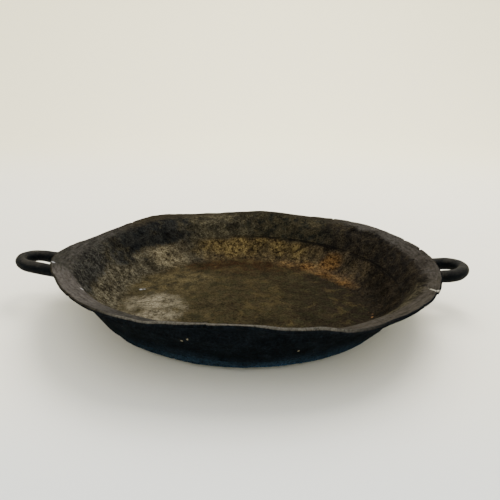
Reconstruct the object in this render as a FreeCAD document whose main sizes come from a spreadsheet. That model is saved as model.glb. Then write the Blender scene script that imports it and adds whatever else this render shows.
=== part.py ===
"""Old two-handled frying pan, hammered from sheet iron.

A shallow bowl is lapped inside a flared rim band and brazed to it. A loop handle of round bar is riveted to the
band on each side.

Millimetres and degrees, +Z up. The origin is the centre of the flat underside that the pan rests on. +X runs out
through the right handle and -X through the left one, and +Y is the back.
"""

import FreeCAD, Part
import enum
import math
import os

import Sketcher

SIZES = {
    # bowl: the inner face's flat, bend and wall
    "floor_radius": 131.0,
    "bend_radius": 27.0,
    "wall_angle": 56.0,
    "sheet_thickness": 2.5,
    "seam_height": 28.0,
    "nick_width": 1.6,
    "nick_depth": 4.5,
    # lap between the bowl and the rim band
    "lap_rise": 10.0,
    "lap_gap": 0.5,
    "braze_setback": 2.5,
    "braze_clearance": 0.05,
    # rim band: a wall in line with the bowl's, a bend and a sloping flange
    "band_thickness": 2.2,
    "flare_height": 44.0,
    "flare_bend_length": 6.4,
    "flange_length": 22.0,
    "flange_angle": 27.5,
    "lip_bulge": 0.8,
    "split_length": 15.0,
    "split_width": 2.6,
    "split_root_width": 0.4,
    # handles: loops of bar, longer and thinner on the left
    "left_bar_radius": 6.2,
    "left_loop_radius": 18.3,
    "left_reach": 78.8,
    "right_bar_radius": 6.4,
    "right_loop_radius": 19.6,
    "right_reach": 69.2,
    "leg_splay": 6.5,
    "leg_tilt": 7.5,
    "leg_rise": 3.7,
    # feet: the flattened ends of the bars, on the band's outer face just under the flare
    "foot_drop": 10.5,
    "foot_width": 17.0,
    "foot_thickness": 4.0,
    "seat_clearance": 0.1,
    # rivets
    "rivet_radius": 3.0,
    "rivet_spacing": 15.0,
    "rivet_margin": 1.0,
    "rivet_clearance": 0.1,
    "rivet_head_radius": 5.6,
    "rivet_head_height": 3.0,
    "rivet_tail_radius": 4.8,
    "rivet_tail_height": 1.0,
    # how far a cutting tool runs past what it cuts
    "overrun": 3.0,
}

# The hammered rim is out of true in lobes: waves round the rim, share of its size, and the angle of a crest.
RADIUS_LOBE_SHARES = ((2, 0.010, -21.0), (3, 0.008, -22.0), (4, 0.018, 37.0), (5, 0.012, -30.0), (6, 0.017, -3.0))
HEIGHT_LOBE_SHARES = ((1, 0.064, -96.0), (2, 0.034, 58.0), (3, 0.007, 3.0), (4, 0.007, 24.0), (6, 0.021, 17.0))

# The flare is drawn through rings at these shares of the way from its foot to the rim.
FLARE_SHARES = (0.0, 0.2, 0.4, 0.6, 0.8, 1.0)
RING_POINTS = 48

SPLIT_ANGLE = -28.0
NICK_ANGLE = 70.0
FACING_ANGLES = {"left": 180.0, "right": 0.0}
RIVET_COUNT = 2


class Spot(enum.IntEnum):
    """The numbers by which a sketch knows the points of a line or an arc."""

    START = 1
    END = 2
    CENTRE = 3


class Datum(enum.IntEnum):
    """The numbers by which a sketch knows its own origin and axes."""

    X_AXIS = -1
    Y_AXIS = -2


START, END, CENTRE = Spot
ORIGIN = X_AXIS = Datum.X_AXIS
Y_AXIS = Datum.Y_AXIS

doc = FreeCAD.newDocument("frying_pan")


def make_sheet():
    """The spreadsheet of driving sizes, one alias for each."""
    cells = doc.addObject("Spreadsheet::Sheet", "sizes")
    for row, (name, value) in enumerate(SIZES.items(), start=1):
        cells.set(f"A{row}", name)
        cells.set(f"B{row}", str(value))
        cells.setAlias(f"B{row}", name)
    doc.recompute()
    return cells


sheet = make_sheet()


def size(name):
    return float(sheet.get(name))


def sine(name):
    return math.sin(math.radians(size(name)))


def cosine(name):
    return math.cos(math.radians(size(name)))


# Walls, as depths outwards from the bowl's inner face
BAND_INNER_WORDS = "sizes.sheet_thickness + sizes.lap_gap"
FOOT_OUTER_WORDS = BAND_INNER_WORDS + " + sizes.band_thickness + sizes.seat_clearance + sizes.foot_thickness"
LAP_FOOT_WORDS = "sizes.seam_height - sizes.lap_rise"


def band_inner():
    return size("sheet_thickness") + size("lap_gap")


def band_outer():
    return band_inner() + size("band_thickness")


def lap_foot():
    return size("seam_height") - size("lap_rise")


def wall_radius(height, depth):
    """Radius at a height of the straight wall, moved outwards by depth along its normal."""
    start_radius = size("floor_radius") + size("bend_radius") * sine("wall_angle")
    start_height = size("sheet_thickness") + size("bend_radius") * (1 - cosine("wall_angle"))
    rise = height - start_height
    return start_radius + rise * cosine("wall_angle") / sine("wall_angle") + depth / sine("wall_angle")


def wall_radius_words(height, depth):
    """The same radius as an expression, with its height and depth given as expressions."""
    start_radius = "sizes.floor_radius + sizes.bend_radius * sin(sizes.wall_angle)"
    start_height = "sizes.sheet_thickness + sizes.bend_radius * (1 - cos(sizes.wall_angle))"
    rise = f"(({height}) - ({start_height}))"
    return f"{start_radius} + {rise} / tan(sizes.wall_angle) + ({depth}) / sin(sizes.wall_angle)"


# Shared modelling steps


def cut(name, base, tool):
    result = doc.addObject("Part::Cut", name)
    result.Base = base
    result.Tool = tool
    return result


def compound(name, items):
    result = doc.addObject("Part::Compound", name)
    result.Links = items
    return result


def wall_cone(name, low, high, depth):
    """A solid bounded by the wall's cone, moved outwards by depth, between two heights. All are expressions."""
    cone = doc.addObject("Part::Cone", name)
    cone.setExpression("Radius1", wall_radius_words(low, depth))
    cone.setExpression("Radius2", wall_radius_words(high, depth))
    cone.setExpression("Height", f"({high}) - ({low})")
    cone.setExpression("Placement.Base.z", low)
    return cone


def origin_item(body, role):
    return next(item for item in body.Origin.OriginFeatures if item.Role == role)


def new_sketch(body, name, role):
    sketch = body.newObject("Sketcher::SketchObject", name)
    sketch.AttachmentSupport = [(origin_item(body, role), "")]
    sketch.MapMode = "FlatFace"
    return sketch


def line(sketch, start, end):
    first = FreeCAD.Vector(start[0], start[1], 0)
    last = FreeCAD.Vector(end[0], end[1], 0)
    return sketch.addGeometry(Part.LineSegment(first, last), False)


def arc(sketch, centre, radius, start_angle, end_angle):
    circle = Part.Circle(FreeCAD.Vector(centre[0], centre[1], 0), FreeCAD.Vector(0, 0, 1), radius)
    return sketch.addGeometry(Part.ArcOfCircle(circle, math.radians(start_angle), math.radians(end_angle)), False)


def constrain(sketch, rules):
    for rule in rules:
        sketch.addConstraint(Sketcher.Constraint(*rule))


def drive(sketch, name, words, *rule):
    """Adds a dimension to the sketch and binds it to an expression."""
    index = sketch.addConstraint(Sketcher.Constraint(*rule))
    sketch.renameConstraint(index, name)
    sketch.setExpression(f"Constraints.{name}", words)


def revolve(body, sketch):
    doc.recompute()
    turned = body.newObject("PartDesign::Revolution", sketch.Name + "_turned")
    turned.Profile = sketch
    turned.ReferenceAxis = (origin_item(body, "Z_Axis"), [""])
    turned.Angle = 360
    body.Tip = turned


# Bowl


def draw_bowl_profile(sketch):
    """Half the bowl's section: floor, bend, straight wall and a squared upper edge."""
    floor, bend, thick = size("floor_radius"), size("bend_radius"), size("sheet_thickness")
    angle = size("wall_angle")
    outwards = FreeCAD.Vector(sine("wall_angle"), -cosine("wall_angle"), 0)
    centre = FreeCAD.Vector(floor, thick + bend, 0)
    inner_low = centre + outwards * bend
    inner_high = FreeCAD.Vector(wall_radius(size("seam_height"), 0), size("seam_height"), 0)
    outer_low = inner_low + outwards * thick
    outer_high = inner_high + outwards * thick

    top = line(sketch, (0, thick), (floor, thick))
    inner_bend = arc(sketch, centre, bend, -90, angle - 90)
    inner_wall = line(sketch, inner_low, inner_high)
    edge = line(sketch, inner_high, outer_high)
    outer_wall = line(sketch, outer_high, outer_low)
    outer_bend = arc(sketch, centre, bend + thick, -90, angle - 90)
    bottom = line(sketch, (floor, 0), (0, 0))
    axis = line(sketch, (0, 0), (0, thick))
    constrain(
        sketch,
        (
            ("Tangent", top, END, inner_bend, START),
            ("Tangent", inner_bend, END, inner_wall, START),
            ("Coincident", inner_wall, END, edge, START),
            ("Coincident", edge, END, outer_wall, START),
            ("Tangent", outer_wall, END, outer_bend, END),
            ("Tangent", outer_bend, START, bottom, START),
            ("Coincident", bottom, END, axis, START),
            ("Coincident", axis, END, top, START),
            ("Coincident", bottom, END, ORIGIN, START),
            ("Coincident", inner_bend, CENTRE, outer_bend, CENTRE),
            ("Horizontal", bottom),
            ("Horizontal", top),
            ("Vertical", axis),
            ("Perpendicular", inner_wall, edge),
        ),
    )
    drive(sketch, "floor", "sizes.floor_radius", "DistanceX", bottom, END, bottom, START, floor)
    drive(sketch, "thickness", "sizes.sheet_thickness", "DistanceY", axis, START, axis, END, thick)
    drive(sketch, "bend", "sizes.bend_radius", "Radius", inner_bend, bend)
    drive(sketch, "seam", "sizes.seam_height", "DistanceY", ORIGIN, START, inner_wall, END, inner_high.y)
    drive(sketch, "slope", "sizes.wall_angle * 1 deg", "Angle", inner_wall, math.radians(angle))


def make_seam_nick():
    """The block that leaves a small square step in the bowl's upper edge."""
    nick = doc.addObject("Part::Box", "seam_nick")
    nick.setExpression("Length", "2 * (sizes.sheet_thickness + sizes.overrun)")
    nick.setExpression("Width", "sizes.nick_width")
    nick.setExpression("Height", "sizes.nick_depth + sizes.overrun")
    low = size("seam_height") - size("nick_depth")
    turn = FreeCAD.Rotation(FreeCAD.Vector(0, 0, 1), NICK_ANGLE)
    corner = FreeCAD.Vector(wall_radius(low, 0) - size("overrun"), -size("nick_width") / 2, low)
    nick.Placement = FreeCAD.Placement(turn.multVec(corner), turn)
    return nick


def make_base_bowl():
    body = doc.addObject("PartDesign::Body", "bowl_sheet")
    sketch = new_sketch(body, "bowl_profile", "XZ_Plane")
    draw_bowl_profile(sketch)
    revolve(body, sketch)
    return cut("base_bowl", body, make_seam_nick())


def make_seam_braze():
    """The ring of brass that fills the lap between the bowl and the band."""
    high = "sizes.seam_height - sizes.braze_setback"
    outer = wall_cone("braze_outer", LAP_FOOT_WORDS, high, BAND_INNER_WORDS + " - sizes.braze_clearance")
    inner = wall_cone("braze_inner", LAP_FOOT_WORDS, high, "sizes.sheet_thickness + sizes.braze_clearance")
    return cut("seam_braze", outer, inner)


# Rim band


def lobes(table, theta):
    return sum(share * math.cos(waves * (theta - math.radians(crest))) for waves, share, crest in table)


def flare_steps():
    """Radius and height of the flare's foot, of the corner that steers its bend and of the rim, before hammering."""
    foot = (wall_radius(size("flare_height"), band_inner()), size("flare_height"))
    bend, flange = size("flare_bend_length"), size("flange_length")
    corner = (foot[0] + bend * cosine("wall_angle"), foot[1] + bend * sine("wall_angle"))
    rim = (corner[0] + flange * cosine("flange_angle"), corner[1] + flange * sine("flange_angle"))
    return foot, corner, rim


def flare_point(theta, share, depth):
    """Radius and height of a point of the flare, moved outwards by depth. Share 0 is its foot and 1 is the rim."""
    foot, corner, rim = flare_steps()
    rim = (rim[0] * (1 + lobes(RADIUS_LOBE_SHARES, theta)), rim[1] * (1 + lobes(HEIGHT_LOBE_SHARES, theta)))
    back = 1 - share
    radius, height = (back**2 * a + 2 * share * back * b + share**2 * c for a, b, c in zip(foot, corner, rim))
    run, rise = (back * (b - a) + share * (c - b) for a, b, c in zip(foot, corner, rim))
    length = math.hypot(run, rise)
    return radius + rise / length * depth, height - run / length * depth


def lip_point(theta):
    """The crest of the rounded lip, which stands out past the edges of both faces."""
    inner = flare_point(theta, 1, 0)
    outer = flare_point(theta, 1, size("band_thickness"))
    across = (outer[0] - inner[0], outer[1] - inner[1])
    bulge = size("lip_bulge") / math.hypot(*across)
    return (inner[0] + outer[0]) / 2 - across[1] * bulge, (inner[1] + outer[1]) / 2 + across[0] * bulge


def ring(section):
    """A closed smooth curve round the pan, where section gives the radius and height at an angle in radians."""
    points = []
    for step in range(RING_POINTS):
        theta = 2 * math.pi * step / RING_POINTS
        radius, height = section(theta)
        points.append(FreeCAD.Vector(radius * math.cos(theta), radius * math.sin(theta), height))
    curve = Part.BSplineCurve()
    curve.interpolate(Points=points, PeriodicFlag=True)
    return Part.Wire([curve.toShape()])


def wall_ring(height, depth):
    radius = wall_radius(height, depth)
    return ring(lambda theta: (radius, height))


def flare_rings(depth):
    return [ring(lambda theta, share=share: flare_point(theta, share, depth)) for share in FLARE_SHARES]


def skin(rings, straight=False):
    return Part.makeLoft(rings, False, straight).Faces


def closed_solid(faces):
    shell = Part.makeShell(faces)
    shell.sewShape()
    solid = Part.makeSolid(shell)
    if solid.Volume < 0:
        solid.reverse()
    return solid


def make_band_blank():
    """The flared band before it is drilled and split."""
    thick = size("band_thickness")
    inner, outer = flare_rings(0), flare_rings(thick)
    inner_foot = wall_ring(lap_foot(), band_inner())
    drop = thick * cosine("wall_angle")
    outer_foot = wall_ring(lap_foot() - drop, band_outer())
    faces = skin([inner_foot, inner[0]], straight=True) + skin(inner)
    faces += skin([inner[-1], ring(lip_point), outer[-1]])
    faces += skin(outer) + skin([outer[0], outer_foot], straight=True)
    faces += skin([outer_foot, inner_foot], straight=True)
    blank = doc.addObject("Part::Feature", "band_blank")
    blank.Shape = closed_solid(faces)
    return blank


def make_band_core():
    """Everything inside the band's outer face and its clearance, which the handles are trimmed to."""
    depth = band_outer() + size("seat_clearance")
    outer = flare_rings(depth - band_inner())
    foot = wall_ring(lap_foot(), depth)
    top = flare_steps()[2][1] * (1 + sum(share for _, share, _ in HEIGHT_LOBE_SHARES)) + size("overrun")
    rim_shadow = ring(lambda theta: (flare_point(theta, 1, depth - band_inner())[0], top))
    faces = skin([foot, outer[0]], straight=True) + skin(outer) + skin([outer[-1], rim_shadow], straight=True)
    faces += [Part.Face(foot), Part.Face(rim_shadow)]
    core = doc.addObject("Part::Feature", "band_core")
    core.Shape = closed_solid(faces)
    return core


def make_rim_split():
    """The wedge that opens the rim where its metal has torn."""
    wedge = doc.addObject("Part::Wedge", "rim_split")
    reach = "(sizes.split_length + sizes.lip_bulge + sizes.band_thickness + sizes.overrun)"
    root = "sizes.split_root_width / 2"
    mouth = f"({root} + (sizes.split_width / 2 - {root}) * {reach} / sizes.split_length)"
    wedge.setExpression("Xmin", f"-{root}")
    wedge.setExpression("Xmax", root)
    wedge.setExpression("X2min", f"-{mouth}")
    wedge.setExpression("X2max", mouth)
    wedge.setExpression("Ymax", reach)
    radius, height = flare_point(math.radians(SPLIT_ANGLE), 1, 0)
    tall = height - size("flare_height") + size("overrun")
    for top in ("Zmax", "Z2max"):
        setattr(wedge, top, tall)
    for bottom in ("Ymin", "Zmin", "Z2min"):
        setattr(wedge, bottom, 0)
    turn = FreeCAD.Rotation(FreeCAD.Vector(0, 0, 1), SPLIT_ANGLE - 90)
    inner = FreeCAD.Vector(0, radius - size("split_length"), size("flare_height"))
    wedge.Placement = FreeCAD.Placement(turn.multVec(inner), turn)
    return wedge


# Handles and rivets


def foot_height():
    return size("flare_height") - size("foot_drop")


def leg_height():
    """Height of a leg's centre line where it meets the band."""
    return foot_height() + size("leg_rise")


def leg_offset(side):
    """Distance of a leg's centre line from the handle's middle where it meets the band."""
    loop = size(f"{side}_loop_radius")
    bend_end = size(f"{side}_reach") - size(f"{side}_bar_radius") - loop + loop * sine("leg_splay")
    return loop * cosine("leg_splay") + bend_end * sine("leg_splay") / cosine("leg_splay")


def rivet_offset(side, number):
    """Distance along the band from the handle's middle to a rivet. Number 0 is next to the leg."""
    first = leg_offset(side) + size(f"{side}_bar_radius") + size("rivet_head_radius") + size("rivet_margin")
    return first + number * size("rivet_spacing")


def foot_length(side):
    """A foot runs from the inner side of its leg to half its own width past the last rivet."""
    end = rivet_offset(side, RIVET_COUNT - 1) + size("foot_width") / 2
    return end - leg_offset(side) + size(f"{side}_bar_radius")


def foot_length_words(side):
    spacings = RIVET_COUNT - 1
    return (
        f"2 * sizes.{side}_bar_radius + sizes.rivet_head_radius + sizes.rivet_margin"
        f" + {spacings} * sizes.rivet_spacing + sizes.foot_width / 2"
    )


def on_band(side, offset):
    """A placement on the band's outer face at foot height, offset along it from the handle's middle.

    Its Z axis is the face's outward normal and its X axis is level.
    """
    radius = wall_radius(foot_height(), band_outer())
    theta = math.radians(FACING_ANGLES[side]) + offset / radius
    level = FreeCAD.Vector(-math.sin(theta), math.cos(theta), 0)
    normal = FreeCAD.Vector(
        sine("wall_angle") * math.cos(theta), sine("wall_angle") * math.sin(theta), -cosine("wall_angle")
    )
    place = FreeCAD.Vector(radius * math.cos(theta), radius * math.sin(theta), foot_height())
    return FreeCAD.Placement(place, FreeCAD.Rotation(level, normal.cross(level), normal, "ZXY"))


def draw_leg_path(sketch, side):
    """Half the handle's centre line: a quarter of the loop and one splayed leg, which ends inside the band."""
    bar, loop, splay = size(f"{side}_bar_radius"), size(f"{side}_loop_radius"), size("leg_splay")
    tip = size(f"{side}_reach") - bar
    bend_end = (tip - loop + loop * sine("leg_splay"), loop * cosine("leg_splay"))
    inset = bar + size("overrun")
    leg_end = (-inset, bend_end[1] + (bend_end[0] + inset) * sine("leg_splay") / cosine("leg_splay"))
    bend = arc(sketch, (tip - loop, 0), loop, 0, 90 - splay)
    leg = line(sketch, bend_end, leg_end)
    constrain(
        sketch,
        (
            ("Tangent", bend, END, leg, START),
            ("PointOnObject", bend, CENTRE, X_AXIS),
            ("PointOnObject", bend, START, X_AXIS),
        ),
    )
    drive(sketch, "loop", f"sizes.{side}_loop_radius", "Radius", bend, loop)
    tip_words = f"sizes.{side}_reach - sizes.{side}_bar_radius"
    drive(sketch, "tip", tip_words, "DistanceX", ORIGIN, START, bend, START, tip)
    inset_words = f"sizes.{side}_bar_radius + sizes.overrun"
    drive(sketch, "inset", inset_words, "DistanceX", leg, END, ORIGIN, START, inset)
    drive(sketch, "splay", "(180 - sizes.leg_splay) * 1 deg", "Angle", leg, math.radians(180 - splay))


def draw_bar_section(sketch, side):
    """The round section of the bar, at the tip of the loop."""
    bar = size(f"{side}_bar_radius")
    tip = size(f"{side}_reach") - bar
    circle = Part.Circle(FreeCAD.Vector(tip, 0, 0), FreeCAD.Vector(0, 0, 1), bar)
    section = sketch.addGeometry(circle, False)
    constrain(sketch, (("PointOnObject", section, CENTRE, X_AXIS),))
    drive(sketch, "bar_size", f"sizes.{side}_bar_radius", "Radius", section, bar)
    tip_words = f"sizes.{side}_reach - sizes.{side}_bar_radius"
    drive(sketch, "tip", tip_words, "DistanceX", ORIGIN, START, section, CENTRE, tip)


def make_bar(side):
    """The bent bar of one handle, with its origin where its middle line meets the band."""
    body = doc.addObject("PartDesign::Body", f"{side}_bar")
    path = new_sketch(body, f"{side}_path", "XY_Plane")
    draw_leg_path(path, side)
    section = new_sketch(body, f"{side}_section", "XZ_Plane")
    draw_bar_section(section, side)
    doc.recompute()
    pipe = body.newObject("PartDesign::AdditivePipe", f"{side}_pipe")
    pipe.Profile = section
    pipe.Spine = (path, ["Edge1", "Edge2"])
    doc.recompute()
    mirrored = body.newObject("PartDesign::Mirrored", f"{side}_mirrored")
    mirrored.Originals = [pipe]
    mirrored.MirrorPlane = (origin_item(body, "XZ_Plane"), [""])
    body.Tip = mirrored

    turn = FreeCAD.Rotation(FreeCAD.Vector(0, 0, 1), FACING_ANGLES[side])
    tilt = FreeCAD.Rotation(FreeCAD.Vector(0, 1, 0), -size("leg_tilt"))
    depth = band_outer() + size("seat_clearance")
    place = FreeCAD.Vector(wall_radius(leg_height(), depth), 0, leg_height())
    body.Placement = FreeCAD.Placement(turn.multVec(place), turn * tilt)
    return body


def make_foot_block(side, end, way):
    """A long block with round ends, square to the band, that a foot is cut from."""
    body = doc.addObject("PartDesign::Body", f"{side}_{end}_block")
    sketch = new_sketch(body, f"{side}_{end}_slot", "XY_Plane")
    radius = size("foot_width") / 2
    half = foot_length(side) / 2 - radius
    upper = line(sketch, (-half, radius), (half, radius))
    right = arc(sketch, (half, 0), radius, -90, 90)
    lower = line(sketch, (half, -radius), (-half, -radius))
    left = arc(sketch, (-half, 0), radius, 90, 270)
    constrain(
        sketch,
        (
            ("Tangent", upper, END, right, END),
            ("Tangent", right, START, lower, START),
            ("Tangent", lower, END, left, END),
            ("Tangent", left, START, upper, START),
            ("Horizontal", upper),
            ("PointOnObject", right, CENTRE, X_AXIS),
            ("Symmetric", left, CENTRE, right, CENTRE, ORIGIN, START),
        ),
    )
    drive(sketch, "round_end", "sizes.foot_width / 2", "Radius", right, radius)
    between = f"{foot_length_words(side)} - sizes.foot_width"
    drive(sketch, "between_ends", between, "DistanceX", left, CENTRE, right, CENTRE, 2 * half)
    pad = body.newObject("PartDesign::Pad", f"{side}_{end}_pad")
    pad.Profile = sketch
    pad.Midplane = True
    pad.setExpression("Length", "2 * (sizes.foot_thickness + sizes.overrun)")
    body.Tip = pad
    middle = leg_offset(side) - size(f"{side}_bar_radius") + foot_length(side) / 2
    body.Placement = on_band(side, way * middle)
    return body


def draw_rivet_end(sketch, way, seat, seat_words, name):
    """One formed end of a rivet: a flat seat and a low dome. Returns its lines and the ends of its dome."""
    radius, tall, shank = size(f"rivet_{name}_radius"), size(f"rivet_{name}_height"), size("rivet_radius")
    dome = (radius**2 + tall**2) / (2 * tall)
    sweep = math.degrees(math.asin(radius / dome))
    under = line(sketch, (shank, way * seat), (radius, way * seat))
    centre = (0, way * (seat + tall - dome))
    if way > 0:
        cap = arc(sketch, centre, dome, 90 - sweep, 90)
        edge, crest = START, END
    else:
        cap = arc(sketch, centre, dome, 270, 270 + sweep)
        edge, crest = END, START
    constrain(
        sketch,
        (
            ("Coincident", under, END, cap, edge),
            ("PointOnObject", cap, CENTRE, Y_AXIS),
            ("PointOnObject", cap, crest, Y_AXIS),
            ("Horizontal", under),
        ),
    )
    drive(sketch, f"{name}_edge", f"sizes.rivet_{name}_radius", "DistanceX", ORIGIN, START, under, END, radius)
    points = (ORIGIN, START, under, START)
    rise = (under, START, cap, crest)
    if way < 0:
        points, rise = points[2:] + points[:2], rise[2:] + rise[:2]
    drive(sketch, f"{name}_seat", seat_words, "DistanceY", *points, seat)
    drive(sketch, f"{name}_rise", f"sizes.rivet_{name}_height", "DistanceY", *rise, tall)
    return under, cap, crest, way * seat, way * (seat + tall)


def make_rivet(name, place):
    """A rivet along its own Z axis, whose zero is the band's outer face: head outside, hammered tail inside."""
    body = doc.addObject("PartDesign::Body", name)
    sketch = new_sketch(body, f"{name}_profile", "XZ_Plane")
    head_seat = size("seat_clearance") + size("foot_thickness") + size("rivet_clearance")
    head_words = "sizes.seat_clearance + sizes.foot_thickness + sizes.rivet_clearance"
    tail_seat = size("band_thickness") + size("rivet_clearance")
    tail_words = "sizes.band_thickness + sizes.rivet_clearance"
    head = draw_rivet_end(sketch, 1, head_seat, head_words, "head")
    tail = draw_rivet_end(sketch, -1, tail_seat, tail_words, "tail")
    shank = size("rivet_radius")
    side = line(sketch, (shank, tail[3]), (shank, head[3]))
    core = line(sketch, (0, head[4]), (0, tail[4]))
    constrain(
        sketch,
        (
            ("Coincident", side, START, tail[0], START),
            ("Coincident", side, END, head[0], START),
            ("Coincident", core, START, head[1], head[2]),
            ("Coincident", core, END, tail[1], tail[2]),
            ("Vertical", side),
        ),
    )
    drive(sketch, "shank", "sizes.rivet_radius", "DistanceX", ORIGIN, START, side, START, shank)
    revolve(body, sketch)
    body.Placement = place
    return body


def make_rivet_hole(name, place):
    """The drill for one rivet, through the foot and the band."""
    drill = doc.addObject("Part::Cylinder", name)
    half = size("band_thickness") + size("foot_thickness") + size("overrun")
    drill.setExpression("Radius", "sizes.rivet_radius + sizes.rivet_clearance")
    drill.setExpression("Height", "2 * (sizes.band_thickness + sizes.foot_thickness + sizes.overrun)")
    drill.Placement = place * FreeCAD.Placement(FreeCAD.Vector(0, 0, -half), FreeCAD.Rotation())
    return drill


def make_handle(side, foot_shell, band_core):
    """One handle with its two feet, its rivets, and the drills that both the handle and the band are cut with."""
    pieces = [make_bar(side)]
    drills, rivets = [], []
    for end, towards_back in (("front", -1), ("back", 1)):
        way = towards_back if side == "right" else -towards_back
        foot = doc.addObject("Part::Common", f"{side}_{end}_foot")
        foot.Base = foot_shell
        foot.Tool = make_foot_block(side, end, way)
        pieces.append(foot)
        for number in range(RIVET_COUNT):
            place = on_band(side, way * rivet_offset(side, number))
            drills.append(make_rivet_hole(f"{side}_{end}_drill_{number + 1}", place))
            rivets.append(make_rivet(f"{side}_{end}_rivet_{number + 1}", place))
    forged = doc.addObject("Part::MultiFuse", f"{side}_forging")
    forged.Shapes = pieces
    trimmed = cut(f"{side}_trimmed", forged, band_core)
    holes = compound(f"{side}_drills", drills)
    return cut(f"{side}_handle", trimmed, holes), rivets, holes


def make_pan():
    """Every sub-part, in the order in which the pan goes together."""
    bowl, braze = make_base_bowl(), make_seam_braze()
    blank, core = make_band_blank(), make_band_core()
    shell_outer = wall_cone("foot_shell_outer", LAP_FOOT_WORDS, "sizes.flare_height", FOOT_OUTER_WORDS)
    shell_inner = wall_cone("foot_shell_inner", LAP_FOOT_WORDS, "sizes.flare_height", BAND_INNER_WORDS)
    shell = cut("foot_shell", shell_outer, shell_inner)
    left, left_rivets, left_holes = make_handle("left", shell, core)
    right, right_rivets, right_holes = make_handle("right", shell, core)
    openings = compound("band_openings", [left_holes, right_holes, make_rim_split()])
    band = cut("rim_band", blank, openings)
    doc.recompute()
    return [bowl, braze, band, left, right] + left_rivets + right_rivets


def check(parts):
    """Stops if any object failed, or any sub-part is not a valid solid."""
    for item in doc.Objects:
        if "Invalid" in item.State or "Error" in item.State:
            raise RuntimeError(f"{item.Name} failed: {item.State}")
    for part in parts:
        if part.Shape.isNull() or not part.Shape.isValid() or not part.Shape.Solids:
            raise RuntimeError(f"{part.Label} has no valid solid")


def export(parts):
    os.makedirs("parts", exist_ok=True)
    for part in parts:
        part.Shape.exportStep(f"parts/{part.Label}.step")
        box = part.Shape.optimalBoundingBox(True, False)
        print(
            f"{part.Label}: {len(part.Shape.Solids)} solid(s), {part.Shape.Volume:.0f} mm3, X {box.XMin:.1f} to"
            f" {box.XMax:.1f}, Y {box.YMin:.1f} to {box.YMax:.1f}, Z {box.ZMin:.1f} to {box.ZMax:.1f}"
        )


subparts = make_pan()
check(subparts)
export(subparts)
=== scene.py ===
from itertools import product
from math import cos, pi, radians, sin, tan
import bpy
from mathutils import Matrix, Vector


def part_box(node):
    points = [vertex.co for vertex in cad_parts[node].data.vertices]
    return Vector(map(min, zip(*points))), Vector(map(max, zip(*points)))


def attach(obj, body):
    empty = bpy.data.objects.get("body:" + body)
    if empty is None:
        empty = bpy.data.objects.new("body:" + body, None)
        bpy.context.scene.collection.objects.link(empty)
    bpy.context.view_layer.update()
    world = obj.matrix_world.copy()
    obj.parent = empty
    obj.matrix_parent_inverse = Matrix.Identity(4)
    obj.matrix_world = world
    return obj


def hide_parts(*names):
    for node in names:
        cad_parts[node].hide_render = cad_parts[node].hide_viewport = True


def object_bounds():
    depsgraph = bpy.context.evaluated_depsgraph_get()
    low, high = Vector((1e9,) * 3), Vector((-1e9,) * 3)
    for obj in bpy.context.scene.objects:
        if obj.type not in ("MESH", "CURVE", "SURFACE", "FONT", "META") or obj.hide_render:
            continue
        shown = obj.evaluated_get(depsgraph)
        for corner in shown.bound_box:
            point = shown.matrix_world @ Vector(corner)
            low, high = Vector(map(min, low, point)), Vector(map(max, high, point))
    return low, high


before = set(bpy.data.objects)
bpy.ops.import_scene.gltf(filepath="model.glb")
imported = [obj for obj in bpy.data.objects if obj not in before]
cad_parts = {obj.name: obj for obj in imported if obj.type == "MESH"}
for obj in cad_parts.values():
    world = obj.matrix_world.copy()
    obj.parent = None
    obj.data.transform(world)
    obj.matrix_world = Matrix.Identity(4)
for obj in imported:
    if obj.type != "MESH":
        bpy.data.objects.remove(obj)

from types import SimpleNamespace

import bpy
import numpy as np
from mathutils import Matrix, Vector, kdtree

CAD_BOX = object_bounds()
MM = 0.001

# bowl
FLOOR_RADIUS = 131 * MM
BEND_RADIUS = 27 * MM
WALL_ANGLE = radians(56)
WALL_RISE = sin(WALL_ANGLE)
WALL_RUN = cos(WALL_ANGLE)
SHEET = 2.5 * MM
WALL_FOOT = SHEET + BEND_RADIUS * (1 - WALL_RUN)
SEAM_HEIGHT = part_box("base_bowl")[1].z
NICK_ANGLE = radians(70)
NICK_WIDTH = 1.8 * MM
NICK_DEPTH = 4.5 * MM
NICK_CORNER = 1.2 * MM
BOWL_COLUMNS = 800

# rim band
LAP_RISE = 10 * MM
LAP_GAP = 0.5 * MM
BAND = 2.2 * MM
FLARE_HEIGHT = 44 * MM
FLARE_BEND = 6.4 * MM
FLANGE = 22 * MM
FLANGE_ANGLE = radians(27.5)
RADIUS_LOBES = ((2, 0.010, -21), (3, 0.008, -22), (4, 0.018, 37), (5, 0.012, -30), (6, 0.017, -3))
HEIGHT_LOBES = ((1, 0.064, -96), (2, 0.034, 58), (3, 0.007, 3), (4, 0.007, 24), (6, 0.021, 17))
BAND_INNER = SHEET + LAP_GAP
BAND_OUTER = BAND_INNER + BAND
LIP_BULGE = 0.8 * MM
RIM_RADIUS = 200 * MM
RIM_TOP = CAD_BOX[1][2] - 0.6 * MM
RIM_ROOM = 0.5 * MM
BAND_COLUMNS = 1000

# tear at the front right
TEAR_ANGLE = radians(-28)
TEAR_LENGTH = 15 * MM
TEAR_WIDTH = 2.6 * MM
TEAR_ROOT = 0.4 * MM
TEAR_SLANT = radians(-14)
TEAR_REACH = radians(13)
TEAR_PIVOT_SHARE = 0.83

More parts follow.
